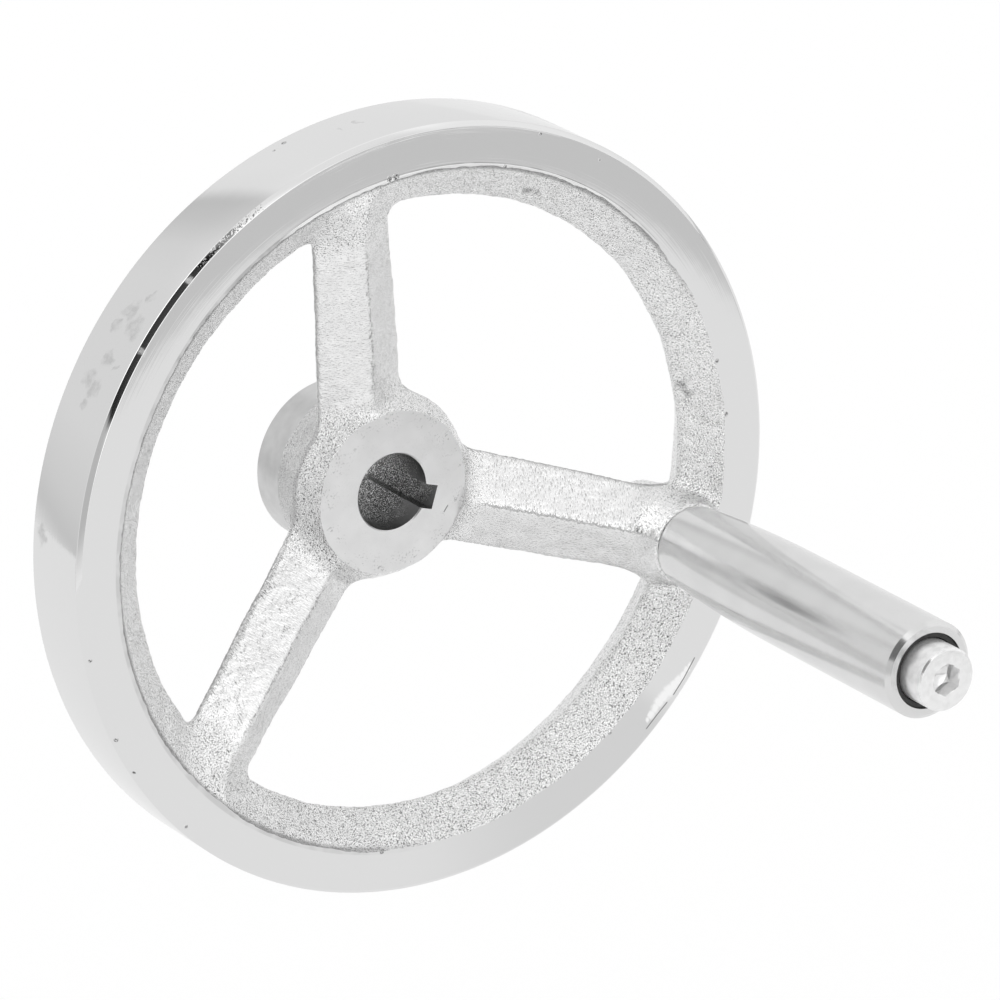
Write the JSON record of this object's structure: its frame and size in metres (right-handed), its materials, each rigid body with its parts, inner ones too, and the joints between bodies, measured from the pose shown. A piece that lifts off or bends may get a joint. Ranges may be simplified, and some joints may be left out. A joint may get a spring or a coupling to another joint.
{
  "type": "machine handwheel",
  "caption": "Dished spoked handwheel with a keyed hub bore and a revolving crank handle held by a socket head screw.",
  "frame": {"origin": "on the bore's axis at the hub's rear face", "axes": "+Y along the bore, towards the machine; the operator's side looks along -Y; +Z along one spoke"},
  "size_m": [0.16, 0.1283, 0.16],
  "materials": {
    "plated_casting": "plated grey iron: turned and polished rim and hub, rough cast spokes and inner slopes",
    "grip_steel": "turned and polished, fine lines along the grip",
    "screw_steel": "bright zinc plate, satin",
    "bush_plastic": "black, fine matte"
  },
  "bodies": {
    "wheel": {"handwheel": "plated_casting", "handle_screw": "screw_steel"},
    "grip": {"handle_sleeve": "grip_steel", "end_bush": "bush_plastic"}
  },
  "joints": [
    {"name": "handle_spin", "type": "hinge", "parent": "wheel", "child": "grip", "pos_m": [0.05543, -0.08, -0.032], "axis": [0, 1, 0], "continuous": true}
  ]
}
